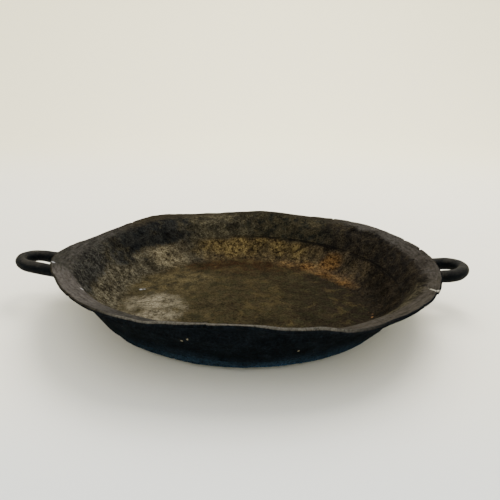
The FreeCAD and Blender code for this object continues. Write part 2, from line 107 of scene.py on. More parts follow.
# marks of the hammer, pits and crust
MEAN_MARK = 0.4
BOWL_MARK = 19 * MM
BOWL_DENT = 0.35 * MM
BOWL_WARP = 0.5 * MM
BOWL_WARP_SPAN = 70 * MM
BOWL_PIT = 3.2 * MM
BOWL_PIT_DEPTH = 0.1 * MM
BAND_MARK = 17 * MM
BAND_DENT = 0.4 * MM
FLANGE_WARP = 1.1 * MM
FLANGE_WARP_SPAN = 20 * MM
BEHIND_FEET = 0.42
BAND_PIT = 3 * MM
BAND_PIT_DEPTH = 0.09 * MM
CRUST = 1.6 * MM
FRONT_LEFT_CRUST = 0.9 * MM
WRINKLES = np.array((2.2, 2.2, 9)) * MM
WRINKLE_DEPTH = 0.16 * MM
LUMPS = 6 * MM
LUMP_DEPTH = 0.22 * MM
BULGE = 2.4 * MM
BULGE_ANGLE = radians(-137)
BULGE_SPREAD = radians(10)

# handles
BAR = {"left": 6.2 * MM, "right": 6.4 * MM}
LOOP = {"left": 18.3 * MM, "right": 19.6 * MM}
REACH = {"left": 78.8 * MM, "right": 69.2 * MM}
FACING = {"left": pi, "right": 0.0}
SPLAY = radians(6.5)
TILT = radians(7.5)
SEAT = 0.1 * MM
FOOT_HEIGHT = 33.5 * MM
LEG_HEIGHT = FOOT_HEIGHT + 3.7 * MM
LEG_OVERRUN = 2 * MM
LEG_STEPS = 12
FOOT_WIDTH = 17 * MM
FOOT_THICKNESS = 4 * MM
FOOT_EDGE = 1.3 * MM
HANDLE_MARK = 11 * MM
HANDLE_DENT = 0.35 * MM
HANDLE_SKIN = 0.12 * MM
HANDLE_SWELL = 0.35 * MM

# rivets
SHANK = 3 * MM
HEAD_RADIUS = 5.6 * MM
HEAD_HEIGHT = 3 * MM
TAIL_RADIUS = 4.8 * MM
TAIL_HEIGHT = 0.5 * MM
RIVET_MARGIN = 1 * MM
RIVET_SPACING = 15 * MM
HEAD_MARK = 5 * MM
HEAD_DENT = 0.7 * MM
RIVET_TURN = 1.7

# brazing
BRAZE_CLEARANCE = 0.06 * MM
BRAZE_WAVE = 1.3 * MM
BRAZE_SAG = 0.8 * MM
CLOSED_SEAM_SAG = 3.5 * MM

# camera and studio
CAMERA_PLACE = (3.16 * MM, -540.84 * MM, 238.19 * MM)
CAMERA_PITCH = radians(18.07)
CAMERA_ROLL = radians(1.017)
CAMERA_LENS = 37.44
CAMERA_SENSOR = 36
STUDIO_REACH = 1.7
STUDIO_CURVE = 1.1
STUDIO_TOP = 1.6


# bench work


def put_down():
    """Lets go of everything, so that the next operator acts on its own piece."""
    if bpy.context.object and bpy.context.object.mode != "OBJECT":
        bpy.ops.object.mode_set(mode="OBJECT")
    bpy.ops.object.select_all(action="DESELECT")


def take(piece):
    put_down()
    piece.select_set(True)
    bpy.context.view_layer.objects.active = piece


def take_new(name):
    """The primitive just added, named and open in edit mode, with its place in its mesh."""
    piece = bpy.context.object
    piece.name = piece.data.name = name
    bpy.ops.object.transform_apply()
    bpy.ops.object.mode_set(mode="EDIT")
    return piece


def lay_down():
    bpy.ops.object.mode_set(mode="OBJECT")


def modify(piece, kind, **settings):
    """Adds a modifier and applies it."""
    take(piece)
    made = piece.modifiers.new(kind.lower(), kind)
    for name, value in settings.items():
        setattr(made, name, value)
    bpy.ops.object.modifier_apply(modifier=made.name)


def extrude(step, times=1):
    """Extrudes what is selected by a step, and again from there."""
    for _ in range(times):
        bpy.ops.mesh.extrude_region_move(TRANSFORM_OT_translate={"value": tuple(step)})


def face_outwards():
    """Turns the faces of the piece being edited outwards, and lays it down."""
    bpy.ops.mesh.select_all(action="SELECT")
    bpy.ops.mesh.normals_make_consistent(inside=False)
    lay_down()


def turn_over(piece):
    """Turns each face of a piece the other way."""
    take(piece)
    bpy.ops.object.mode_set(mode="EDIT")
    bpy.ops.mesh.select_all(action="SELECT")
    bpy.ops.mesh.flip_normals()
    lay_down()


def draw_profile(name, profile):
    """Draws a section in the XZ plane through (radius, height) points, from a square pinched to a point."""
    put_down()
    bpy.ops.mesh.primitive_plane_add(size=MM, location=(profile[0][0], 0, profile[0][1]))
    piece = take_new(name)
    bpy.ops.mesh.select_all(action="SELECT")
    bpy.ops.mesh.merge(type="CENTER")
    for (radius, height), (next_radius, next_height) in zip(profile, profile[1:]):
        extrude((next_radius - radius, 0, next_height - height))
    return piece


def turn_profile(name, profile, columns, closed=False):
    """Turns a section round the Z axis into a closed shell with its faces outwards."""
    piece = draw_profile(name, profile)
    lay_down()
    if closed:
        ends = (0, len(profile) - 1)
        for point in piece.data.vertices:
            point.select = point.index in ends
        bpy.ops.object.mode_set(mode="EDIT")
        bpy.ops.mesh.select_mode(type="VERT")
        bpy.ops.mesh.edge_face_add()
        lay_down()
    modify(piece, "SCREW", angle=2 * pi, steps=columns, render_steps=columns, axis="Z")
    bpy.ops.object.mode_set(mode="EDIT")
    bpy.ops.mesh.select_all(action="SELECT")
    bpy.ops.mesh.remove_doubles(threshold=0.002 * MM)
    face_outwards()
    return piece


def points_of(piece):
    flat = np.empty(len(piece.data.vertices) * 3)
    piece.data.vertices.foreach_get("co", flat)
    return flat.reshape(-1, 3)


def move_points(piece, points):
    piece.data.vertices.foreach_set("co", np.asarray(points, np.float32).ravel())
    piece.data.update()


def rows_of(piece, profile, rows):
    """For each point of a turned piece, its angle and the row of the section's point that it came from."""
    points = points_of(piece)
    tree = kdtree.KDTree(len(profile))
    for number, (across, height) in enumerate(profile):
        tree.insert((across, 0, height), number)
    tree.balance()
    radii = np.hypot(points[:, 0], points[:, 1])
    found = [tree.find((radius, 0, height))[1] for radius, height in zip(radii, points[:, 2])]
    return np.arctan2(points[:, 1], points[:, 0]), np.array(rows)[found]


def mark(piece, name, shares):
    """Stores a share from 0 to 1 at each point for the finish, such as how near it is to the outside."""
    layer = piece.data.attributes.new(name, "FLOAT", "POINT")
    layer.data.foreach_set("value", np.asarray(shares, np.float32))


def smooth_finish(piece, angle=radians(50)):
    take(piece)
    bpy.ops.object.shade_smooth_by_angle(angle=angle)


# angles, waves and marks


def smoothstep(value, low, high):
    share = np.clip((value - low) / (high - low), 0, 1)
    return share * share * (3 - 2 * share)


def between(value, start, full, fading, gone):
    """1 from full to fading, and 0 before start and after gone."""
    return smoothstep(value, start, full) * (1 - smoothstep(value, fading, gone))


def away_from(theta, direction):
    """The turn from a direction to each angle, from -pi to pi."""
    return np.angle(np.exp(1j * (theta - direction)))


def stretch(theta, start, full, fading, gone):
    """1 along part of the way round the pan and 0 elsewhere, smooth between these angles in degrees."""
    return between(np.degrees(away_from(theta, 0)), start, full, fading, gone)


def along_rim(theta, stretches):
    """The sum of stretches of the rim, each with a size in mm and its four angles."""
    return sum(size * MM * stretch(theta, *angles) for size, *angles in stretches)


def on_round(radius, theta, height):
    """Points at a radius, an angle and a height."""
    return np.stack((radius * np.cos(theta), radius * np.sin(theta), height), 1)


def chance(cells, draw):
    """A number from 0 to 1 for each whole-numbered cell, always the same for the same cell and draw."""
    mixed = cells @ np.array((374761393, 668265263, 1440662683)) + draw * 974634777
    mixed = ((mixed & 0xFFFFFFFF) ^ ((mixed & 0xFFFFFFFF) >> 13)) * 1274126177 & 0xFFFFFFFF
    mixed = (mixed ^ (mixed >> 16)) * 2246822519 & 0xFFFFFFFF
    return (mixed ^ (mixed >> 15)) % 65536 / 65535


def grain(points, size, octaves=3):
    """Soft noise from -1 to 1 at each point, with features of the given size."""
    total, weight, share = 0.0, 0.0, 1.0
    for octave in range(octaves):
        place = np.asarray(points) / size * 2**octave + 17.3 * octave
        cell = np.floor(place).astype(np.int64)
        part = place - cell
        part = part * part * (3 - 2 * part)
        value = 0.0
        for corner in np.ndindex(2, 2, 2):
            weights = np.where(np.array(corner) == 1, part, 1 - part).prod(axis=1)
            value = value + weights * chance(cell + np.array(corner), octave)
        total = total + share * (2 * value - 1)
        weight += share
        share *= 0.5
    return total / weight


def hammer_marks(points, size):
    """0 in the middle of each hammer mark and up to 1 on the ridges between them."""
    place = np.asarray(points) / size
    cell = np.floor(place).astype(np.int64)
    closeness = np.zeros(len(place))
    for step in np.ndindex(3, 3, 3):
        there = cell + np.array(step) - 1
        middle = there + np.stack([chance(there, draw) for draw in (5, 6, 7)], 1)
        closeness += np.exp(-14 * ((place - middle) ** 2).sum(axis=1))
    return np.clip(-np.log(closeness + 1e-9) / 14 * 1.4 + 0.1, 0, 1)


# shape of the pan


def wall_radius(height, depth):
    """Radius of the wall at a height, depth outwards from the bowl's inside."""
    run = (height - WALL_FOOT) / tan(WALL_ANGLE) + depth / WALL_RISE
    return FLOOR_RADIUS + BEND_RADIUS * WALL_RISE + run


def lobes(table, theta):
    return sum(share * np.cos(waves * (theta - radians(crest))) for waves, share, crest in table)


def flare_point(theta, share, depth=0.0):
    """Radius and height on the flare, and the outward normal there. Share 0 is its foot and 1 the rim."""
    foot = (wall_radius(FLARE_HEIGHT, BAND_INNER), FLARE_HEIGHT)
    corner = (foot[0] + FLARE_BEND * WALL_RUN, foot[1] + FLARE_BEND * WALL_RISE)
    rim_radius = (corner[0] + FLANGE * cos(FLANGE_ANGLE)) * (1 + lobes(RADIUS_LOBES, theta))
    rim_height = (corner[1] + FLANGE * sin(FLANGE_ANGLE)) * (1 + lobes(HEIGHT_LOBES, theta))
    back = 1 - share
    place, way = [], []
    for first, second, third in zip(foot, corner, (rim_radius, rim_height)):
        place.append(back**2 * first + 2 * share * back * second + share**2 * third)
        way.append(back * (second - first) + share * (third - second))
    length = np.hypot(*way)
    normal = (way[1] / length, -way[0] / length)
    return place[0] + normal[0] * depth, place[1] + normal[1] * depth, normal[0], normal[1]


def band_line(theta, height, share):
    """Radius and height on the band's inner face, and the outward normal there."""
    wall = (wall_radius(height, BAND_INNER), height, WALL_RISE, -WALL_RUN)
    return [np.where(share > 0, *pair) for pair in zip(flare_point(theta, share), wall)]


def seam_is_open(theta):
    """1 where the bowl's upper edge stands off the band as a plain step, 0 where it is hammered thin."""
    return stretch(theta, 0, 10, 112, 126)


def crust_relief(flat):
    """Soot crust: fine wrinkles that run down the wall, over coarser lumps."""
    return WRINKLE_DEPTH * grain(flat, WRINKLES, 2) + LUMP_DEPTH * grain(flat, LUMPS, 3)


def bulge(theta):
    """How far the wall's outside swells at the front left."""
    return BULGE * np.exp(-((away_from(theta, BULGE_ANGLE) / BULGE_SPREAD) ** 2))


# bowl


def bowl_stations():
    """Radius, height and outward normal at steps along the bowl's inside, from its middle to its edge."""
    stations = [(radius, SHEET, 0.0, -1.0) for radius in np.linspace(0, FLOOR_RADIUS, 38)[:-1]]
    for angle in np.linspace(0, WALL_ANGLE, 16)[:-1]:
        radius = FLOOR_RADIUS + BEND_RADIUS * sin(angle)
        height = SHEET + BEND_RADIUS * (1 - cos(angle))
        stations.append((radius, height, sin(angle), -cos(angle)))
    for height in np.linspace(WALL_FOOT, SEAM_HEIGHT, 12):
        stations.append((wall_radius(height, 0), height, WALL_RISE, -WALL_RUN))
    return stations


def bowl_section():
    """The section's points, each with its place inside, the normal there and its share of the sheet."""
    stations = bowl_stations()
    rows = [(*s, 1.0) for number, s in enumerate(stations) if s[3] > -0.9999 or number % 2 == 0]
    rows += [(*stations[-1], face) for face in (0.75, 0.5, 0.25)]
    rows += [(*station, 0.0) for station in reversed(stations)]
    radius, height, across, down, face = np.array(rows).T
    return list(zip(radius + across * SHEET * face, height + down * SHEET * face)), rows


def bowl_thickness(face, to_edge, closed):
    """Depth from the inside's line. Where the seam is closed, the sheet thins to a flush edge on the band."""
    thinned = closed * (1 - smoothstep(to_edge, 0, 11 * MM))
    flush = closed * (1 - smoothstep(to_edge, 0.5 * MM, 2.8 * MM))
    inner = thinned * (BAND_INNER + 0.1 * MM)
    outer = np.maximum(SHEET + flush * (LAP_GAP + 0.25 * MM), inner + 0.15 * MM)
    return inner * (1 - face) + outer * face


def bowl_relief(flat, theta, table, to_edge):
    """How far hammering, pits and crust stand outwards. None of it goes below the flat underside."""
    radius, _, across, down, face = table.T
    inside, outside, on_floor = face < 0.1, face > 0.9, down < -0.9
    clear_of_lap = smoothstep(to_edge, 9 * MM, 14 * MM)
    marks = hammer_marks(flat, BOWL_MARK) - MEAN_MARK
    dents = BOWL_DENT * marks + BOWL_WARP * grain(flat, BOWL_WARP_SPAN, 2)
    dents *= clear_of_lap * smoothstep(radius, 0, 20 * MM)
    pitting = BOWL_PIT_DEPTH * grain(flat, BOWL_PIT, 2)
    front_left = smoothstep(-np.cos(theta - radians(30)), 0.2, 0.9)
    heavy = (CRUST + FRONT_LEFT_CRUST * front_left + bulge(theta) * 0.7) * smoothstep(across, 0.2, 0.7)
    crust = crust_relief(flat) + heavy * smoothstep(to_edge, 11 * MM, 24 * MM)
    relief = np.where(outside & on_floor, -np.abs(dents) * 0.6 - np.abs(pitting), dents)
    return relief + np.where(inside, pitting, 0) + np.where(outside & ~on_floor, crust * clear_of_lap, 0)


def nick_drop(theta, radius):
    """How far the bowl's upper edge is cut down at the square nick."""
    arc = np.abs(away_from(theta, NICK_ANGLE)) * radius
    return NICK_DEPTH * (1 - smoothstep(arc, NICK_WIDTH / 2, NICK_WIDTH / 2 + NICK_CORNER))


def make_bowl():
    profile, rows = bowl_section()
    piece = turn_profile("hammered_bowl", profile, BOWL_COLUMNS)
    theta, table = rows_of(piece, profile, rows)
    radius, height, across, down, face = table.T
    to_edge = (SEAM_HEIGHT - height) / WALL_RISE
    closed = 1 - seam_is_open(theta)
    depth = bowl_thickness(face, to_edge, closed)
    depth += bowl_relief(on_round(radius, theta, height), theta, table, to_edge)
    radius = radius + across * depth
    drop = nick_drop(theta, radius) * (1 - smoothstep(to_edge, 0, 5 * MM))
    radius -= drop * WALL_RUN
    height = np.maximum(height + down * depth - drop * WALL_RISE, 0)
    move_points(piece, on_round(radius, theta, height))
    mark(piece, "outside", np.where(face < 0.9, face * (1 - closed), face))
    smooth_finish(piece)
    return piece


# rim band

# nicks in the edge: direction in degrees, width and depth in mm
RIM_NICKS = (
    (54, 1.6, 1.6),
    (17, 2.2, 0.7),
    (7, 2.6, 1.8),
    (261.2, 1.5, 0.9),
    (331, 4, 1.5),
    (291, 2.5, 0.8),
    (141, 3, 0.7),
    (222, 2, 0.8),
    (318, 2, 0.9),
)
# bends of the rim: direction and spread in degrees, rise in mm
RIM_BENDS = (
    (131, 9, 1.3),
    (111, 10, -2.2),
    (84, 9, 2.0),
    (64, 9, -1.4),
    (44, 8, 0.9),
    (18, 7, -0.8),
    (-30, 9, 0.4),
    (-52, 6, -0.4),
    (-63, 6, -1.8),
    (-74, 6, 2.6),
    (-80, 5, 0.7),
    (-90, 7, 3.4),
    (-120, 5, 1.0),
    (-153, 7, 0.8),
)
FOLD_ANGLE = radians(-98.3)
FOLD_RISE = 2.1 * MM
FOLD_LENGTH = 9 * MM
FRONT_RADIUS = 190 * MM
# stretches of the rim: size in mm, and the angles where it starts, is full, fades and is gone
THICKER_LIP = ((1.28, -140, -116, -64, -44), (0.32, -140, -116, -22, -6), (1.28, -116, -104, -72, -58))
HANGING_EDGE = ((1.4, -136, -112, -112, -103),)
ARCHED_FLANGE = ((4.8, -176, -150, -108, -98), (2.4, -84, -68, -24, -4), (1.6, -108, -98, -84, -68))


def band_section():
    """The section's points, each with its wall height, share of the flare, share of the sheet and bulge."""
    stations = [(height, 0.0) for height in np.linspace(SEAM_HEIGHT - LAP_RISE, FLARE_HEIGHT, 22)]
    stations += [(FLARE_HEIGHT, share) for share in np.linspace(0, 1, 23)[1:]]
    rows = [(*station, 0.0, 0.0) for station in stations]
    for face in (0.12, 0.35, 0.65, 0.88):
        rows.append((*stations[-1], face, LIP_BULGE * (1 - (2 * face - 1) ** 2)))
    rows += [(*station, 1.0, 0.0) for station in reversed(stations)]
    height, share, face, proud = np.array(rows).T
    radius, height, across, down = band_line(0.0, height, share)
    depth = BAND * face
    return list(zip(radius + across * depth - down * proud, height + down * depth + across * proud)), rows


def rim_wear(theta):
    """How far the rim's edge stands back from the lip's line."""
    wear = np.zeros_like(theta)
    for degrees, width, deep in RIM_NICKS:
        arc = np.abs(away_from(theta, radians(degrees))) * RIM_RADIUS
        wear = np.maximum(wear, deep * MM * (1 - smoothstep(arc, width * 0.4 * MM, width * MM)))
    ring = on_round(RIM_RADIUS, theta, np.zeros_like(theta))
    wear += 0.45 * MM * np.abs(grain(ring, 24 * MM, 3)) + 0.25 * MM * np.abs(grain(ring, 5 * MM, 2))
    arc = np.abs(away_from(theta, TEAR_ANGLE)) * RIM_RADIUS
    tear = TEAR_LENGTH * (1 - np.clip((arc - TEAR_ROOT / 2) / (TEAR_WIDTH / 2 - TEAR_ROOT / 2), 0, 1))
    return np.maximum(wear, tear)


def rim_bends(theta):
    """How far blows of the hammer have bent the rim up at each angle, with the fold at the front left."""
    rise = np.zeros_like(theta)
    for degrees, spread, high in RIM_BENDS:
        rise += high * MM * np.exp(-((away_from(theta, radians(degrees)) / radians(spread)) ** 2))
    along = -away_from(theta, FOLD_ANGLE) * FRONT_RADIUS
    fold = smoothstep(along, -0.4 * MM, 0.6 * MM) * np.exp(-np.clip(along, 0, None) / FOLD_LENGTH)
    return rise + FOLD_RISE * fold


def gather(theta):
    """Crowds the columns of faces towards the tear, so that its edges are crisp."""
    away = away_from(theta, TEAR_ANGLE)
    reach = radians(14)
    share = np.clip(np.abs(away) / reach, 0, 1)
    crowded = share * (0.14 + 0.86 * share * share * (3 - 2 * share))
    return TEAR_ANGLE + np.sign(away) * np.where(share < 1, crowded * reach, np.abs(away))


def tear_slant(theta, share):
    """The tear runs in from the edge at a slant."""
    away = np.abs(away_from(theta, TEAR_ANGLE))
    slant = TEAR_SLANT * (share - TEAR_PIVOT_SHARE) * smoothstep(share, 0, 0.5)
    return slant * (1 - smoothstep(away, 0, TEAR_REACH))


def tear_lift(theta):
    """The near side of the tear stands a little proud of the far side."""
    arc = away_from(theta, TEAR_ANGLE) * RIM_RADIUS
    near = between(-arc, 0, 0.4 * MM, 2 * MM, 16 * MM)
    far = between(arc, 0, 0.4 * MM, 2 * MM, 12 * MM)
    return 0.8 * MM * near - 1.5 * MM * far


def band_relief(flat, theta, share, face):
    """How far hammering, pits, crust and the bulge stand outwards. It is quiet behind the handles' feet."""
    above_lap = smoothstep(flat[:, 2], SEAM_HEIGHT, SEAM_HEIGHT + 6 * MM)
    at_handles = np.abs(np.sin(theta)) < BEHIND_FEET
    dents = BAND_DENT * (hammer_marks(flat, BAND_MARK) - MEAN_MARK) * above_lap
    dents = np.where(at_handles & (face > 0.5), dents * 0.15, dents)
    warp = FLANGE_WARP * grain(flat, FLANGE_WARP_SPAN, 2) * smoothstep(share, 0.2, 0.9)
    pitting = BAND_PIT_DEPTH * grain(flat, BAND_PIT, 2) * above_lap
    crust = np.where(at_handles & (share <= 0), 0, crust_relief(flat))
    swelling = bulge(theta) * (1 - smoothstep(share, 0.1, 0.6))
    relief = dents + warp * (1 - 0.5 * face)
    return relief + np.where(face < 0.1, pitting, 0) + np.where(face > 0.9, crust + swelling, 0)


def make_band():
    profile, rows = band_section()
    piece = turn_profile("flared_band", profile, BAND_COLUMNS, closed=True)
    theta, table = rows_of(piece, profile, rows)
    height, share, face, proud = table.T
    theta = gather(theta)
    share = share * (1 - rim_wear(theta) / (FLANGE + FLARE_BEND))
    lift = tear_lift(theta) * smoothstep(share, 0.3, 0.95)
    theta = theta + tear_slant(theta, share)
    radius, height, across, down = band_line(theta, height, share)
    depth = BAND * face + band_relief(on_round(radius, theta, height), theta, share, face)
    depth -= along_rim(theta, ARCHED_FLANGE) * 4 * share * (1 - share)
    lift += rim_bends(theta) * smoothstep(share, 0.1, 1.1)
    lift -= along_rim(theta, HANGING_EDGE) * smoothstep(share, 0.62, 1)
    lift -= along_rim(theta, THICKER_LIP) * smoothstep(share, 0.6, 1) * face
    radius = radius + across * depth - down * proud
    height = height + down * depth + across * proud + lift
    over = np.maximum(0, height - RIM_TOP)
    height = np.minimum(height, RIM_TOP) + RIM_ROOM * (1 - np.exp(-over / RIM_ROOM))
    move_points(piece, on_round(radius, theta, height))
    mark(piece, "outside", face)
    mark(piece, "flare", share)
    smooth_finish(piece)
    return piece


# handles


def leg_offset(side):
    """How far to the side a leg meets the band."""
    bend_end = REACH[side] - BAR[side] - LOOP[side] + LOOP[side] * sin(SPLAY)
    return LOOP[side] * cos(SPLAY) + bend_end * tan(SPLAY)


def rivet_offset(side, number):
    first = leg_offset(side) + BAR[side] + HEAD_RADIUS + RIVET_MARGIN
    return first + number * RIVET_SPACING


def on_wall(side, along, up, depth):
    """A point on the wall: along the band from the handle's middle, up the slope from foot height."""
    ring = wall_radius(FOOT_HEIGHT, BAND_OUTER)
    theta = FACING[side] + along / ring
    height = FOOT_HEIGHT + up * WALL_RISE - depth * WALL_RUN
    radius = ring + up * WALL_RUN + depth * WALL_RISE
    return radius * np.cos(theta), radius * np.sin(theta), height


def make_bar(side):
    """A bar bent to a loop: a circle drawn along one leg, round the loop and back along the other leg."""
    bar, loop = BAR[side], LOOP[side]
    centre = REACH[side] - bar - loop
    leg = Vector((-cos(SPLAY), sin(SPLAY), 0))
    bend_end = Vector((centre + loop * sin(SPLAY), loop * cos(SPLAY), 0))
    length = (bend_end.x + LEG_OVERRUN) / cos(SPLAY)
    root = bend_end + leg * length
    put_down()
    bpy.ops.mesh.primitive_circle_add(vertices=28, radius=bar, location=root, rotation=(0, pi / 2, -SPLAY))
    piece = take_new(f"{side}_bar")
    bpy.ops.mesh.select_all(action="SELECT")
    extrude(-leg * length / LEG_STEPS, LEG_STEPS)
    bpy.ops.mesh.spin(steps=44, angle=pi + 2 * SPLAY, center=(centre, 0, 0), axis=(0, 0, 1))
    extrude(Vector((-cos(SPLAY), -sin(SPLAY), 0)) * length / LEG_STEPS, LEG_STEPS)
    bpy.ops.mesh.select_all(action="DESELECT")
    bpy.ops.mesh.select_mode(type="EDGE")
    bpy.ops.mesh.select_non_manifold(extend=False)
    bpy.ops.mesh.edge_face_add()
    face_outwards()
    place = Matrix.Translation((wall_radius(LEG_HEIGHT, BAND_OUTER + SEAT), 0, LEG_HEIGHT))
    turn = Matrix.Rotation(FACING[side], 4, "Z")
    piece.data.transform(turn @ place @ Matrix.Rotation(-TILT, 4, "Y"))
    return piece


def make_foot(side, way):
    """A flattened bar end with round ends, forged flat and then laid on the band."""
    start = leg_offset(side) - BAR[side]
    half = FOOT_WIDTH / 2
    end = rivet_offset(side, 1) + half
    put_down()
    bpy.ops.mesh.primitive_circle_add(
        vertices=40, radius=half, fill_type="NGON", location=(start + half, 0, 0)
    )
    piece = take_new(f"{side}_foot")
    bpy.ops.mesh.select_all(action="DESELECT")
    lay_down()
    for point in piece.data.vertices:
        point.select = point.co.x > start + half + 0.01 * MM
    bpy.ops.object.mode_set(mode="EDIT")
    bpy.ops.mesh.select_mode(type="VERT")
    bpy.ops.transform.translate(value=(end - start - FOOT_WIDTH, 0, 0))
    bpy.ops.mesh.select_all(action="SELECT")
    extrude((0, 0, FOOT_THICKNESS))
    bpy.ops.mesh.bevel(offset=FOOT_EDGE, segments=3, affect="EDGES")
    face_outwards()
    modify(piece, "REMESH", mode="VOXEL", voxel_size=1.0 * MM)
    points = points_of(piece)
    placed = on_wall(side, points[:, 0] * way, points[:, 1], points[:, 2] + SEAT)
    move_points(piece, np.stack(placed, 1))
    if way < 0:
        turn_over(piece)
    return piece


def clear_of_band(points, facing):
    """Moves points out to the band's outer face where they are inside it."""
    flare = flare_point(facing, np.linspace(0, 1, 30), BAND + SEAT)
    low = (SEAM_HEIGHT - LAP_RISE) / 2
    heights = np.concatenate(([low], flare[1]))
    radii = np.concatenate(([wall_radius(low, BAND_OUTER + SEAT)], flare[0]))
    radius = np.hypot(points[:, 0], points[:, 1])
    least = np.interp(points[:, 2], heights, radii)
    grow = np.maximum(least, radius) / radius
    return points * np.stack((grow, grow, np.ones_like(grow)), 1)


def make_handle(side):
    """The bar and its two feet, forged into one piece, dressed with the hammer and fitted to the band."""
    parts = [make_bar(side), make_foot(side, 1), make_foot(side, -1)]
    take(parts[0])
    for part in parts[1:]:
        part.select_set(True)
    bpy.ops.object.join()
    piece = bpy.context.object
    piece.name = piece.data.name = f"{side}_loop_handle"
    modify(piece, "REMESH", mode="VOXEL", voxel_size=0.65 * MM)
    modify(piece, "SMOOTH", factor=0.5, iterations=7)
    points = points_of(piece)
    normals = np.empty(len(points) * 3)
    piece.data.vertices.foreach_get("normal", normals)
    marks = hammer_marks(points, HANDLE_MARK) * HANDLE_DENT
    worn = 0.12 * MM * np.abs(grain(points, 4 * MM, 3)) + 0.2 * MM * np.abs(grain(points, 30 * MM, 1))
    swell = HANDLE_SWELL * (1 - smoothstep(np.abs(points[:, 0]), 225 * MM, 236 * MM))
    points = points + normals.reshape(-1, 3) * (swell + marks - worn - HANDLE_SKIN)[:, None]
    points[:, 0] = np.clip(points[:, 0], CAD_BOX[0][0] + 0.05 * MM, CAD_BOX[1][0] - 0.05 * MM)
    move_points(piece, clear_of_band(points, FACING[side]))
    smooth_finish(piece, radians(70))
    return piece


# rivets


def make_rivet():
    """One rivet standing on the origin, its head up: the shank's middle is at the band's outer face."""
    seat = FOOT_THICKNESS + SEAT * 2
    tail = -(BAND + SEAT / 2)
    profile = [(0, tail - TAIL_HEIGHT)]
    for share in (0.3, 0.6, 0.85, 1.0):
        profile.append((TAIL_RADIUS * share, tail - TAIL_HEIGHT * (1 - share**2) ** 0.5))
    profile += [(SHANK, tail), (SHANK, seat), (HEAD_RADIUS * 0.97, seat)]
    for angle in np.radians(np.linspace(8, 90, 9)[:-1]):
        profile.append((HEAD_RADIUS * cos(angle), seat + HEAD_HEIGHT * sin(angle)))
    profile.append((0, seat + HEAD_HEIGHT))
    piece = turn_profile("rivet_pattern", profile, 40)
    points = points_of(piece)
    head = smoothstep(points[:, 2], seat + 0.3 * MM, seat + 1.5 * MM)
    marks = hammer_marks(points + 20 * MM, HEAD_MARK) - 0.8
    points[:, 2] += head * HEAD_DENT * np.minimum(marks, 0)
    move_points(piece, points)
    mark(piece, "outside", smoothstep(points[:, 2], -0.5 * MM, 0.5 * MM))
    smooth_finish(piece, radians(60))
    return piece


def place_rivets(pattern):
    """Copies the rivet to the eight places, each turned its own way about its shank."""
    made = []
    for side, end, number in product(("left", "right"), ("front", "back"), (0, 1)):
        node = f"{side}_{end}_rivet_{number + 1}"
        piece = pattern.copy()
        piece.data = pattern.data.copy()
        piece.name = piece.data.name = f"{node}_hammered"
        bpy.context.scene.collection.objects.link(piece)
        way = 1 if (side == "left") == (end == "front") else -1
        along = way * rivet_offset(side, number)
        theta = FACING[side] + along / wall_radius(FOOT_HEIGHT, BAND_OUTER)
        normal = Vector((WALL_RISE * cos(theta), WALL_RISE * sin(theta), -WALL_RUN))
        level = Vector((-sin(theta), cos(theta), 0))
        upright = Matrix((level, normal.cross(level), normal)).transposed().to_4x4()
        spot = Vector([float(x) for x in on_wall(side, along, 0, 0)])
        turn = Matrix.Rotation(len(made) * RIVET_TURN, 4, "Z")
        piece.data.transform(Matrix.Translation(spot) @ upright @ turn)
        made.append((piece, node))
    bpy.data.objects.remove(pattern)
    return made


# brazing


def make_braze():
    """The brazing in the lap, with an uneven upper edge that sinks where the seam is closed."""
    low, high = (corner.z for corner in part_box("seam_braze"))
    heights = np.linspace(low + 0.4 * MM, high, 7)
    profile = [(wall_radius(height, SHEET + BRAZE_CLEARANCE), height) for height in heights]
    profile += [(wall_radius(height, BAND_INNER - BRAZE_CLEARANCE), height) for height in reversed(heights)]
    piece = turn_profile("braze_ring", profile, 360, closed=True)
    points = points_of(piece)
    theta = np.arctan2(points[:, 1], points[:, 0])
    share = (points[:, 2] - low) / (high - low)
    ring = on_round(160 * MM, theta, np.zeros_like(theta))
    shift = (BRAZE_WAVE * grain(ring, 7 * MM, 3) - BRAZE_SAG) * smoothstep(share, 0.5, 1)
    shift -= CLOSED_SEAM_SAG * (1 - seam_is_open(theta)) * smoothstep(share, 0.3, 1)
    points[:, 2] += shift
    grow = 1 + shift / tan(WALL_ANGLE) / np.hypot(points[:, 0], points[:, 1])
    points[:, :2] *= grow[:, None]
    move_points(piece, points)
    smooth_finish(piece)
    return piece


# nodes of the finishes


def worked_out(operation, turned=False):
    """An operator that adds the node which works it out, with its two sides turned round if asked."""

    def work(self, other):
        sides = (other, self) if turned else (self, other)
        return self.finish.node("ShaderNodeMath", {"operation": operation}, dict(enumerate(sides)))

    return work


class Value:
    """A number, colour or vector in a finish. Sums and products of values add the nodes for them."""

    def __init__(self, finish, output):
        self.finish, self.output = finish, output

    __add__, __radd__ = worked_out("ADD"), worked_out("ADD", True)
    __sub__, __rsub__ = worked_out("SUBTRACT"), worked_out("SUBTRACT", True)
    __mul__, __rmul__ = worked_out("MULTIPLY"), worked_out("MULTIPLY", True)
    __truediv__, __pow__ = worked_out("DIVIDE"), worked_out("POWER")


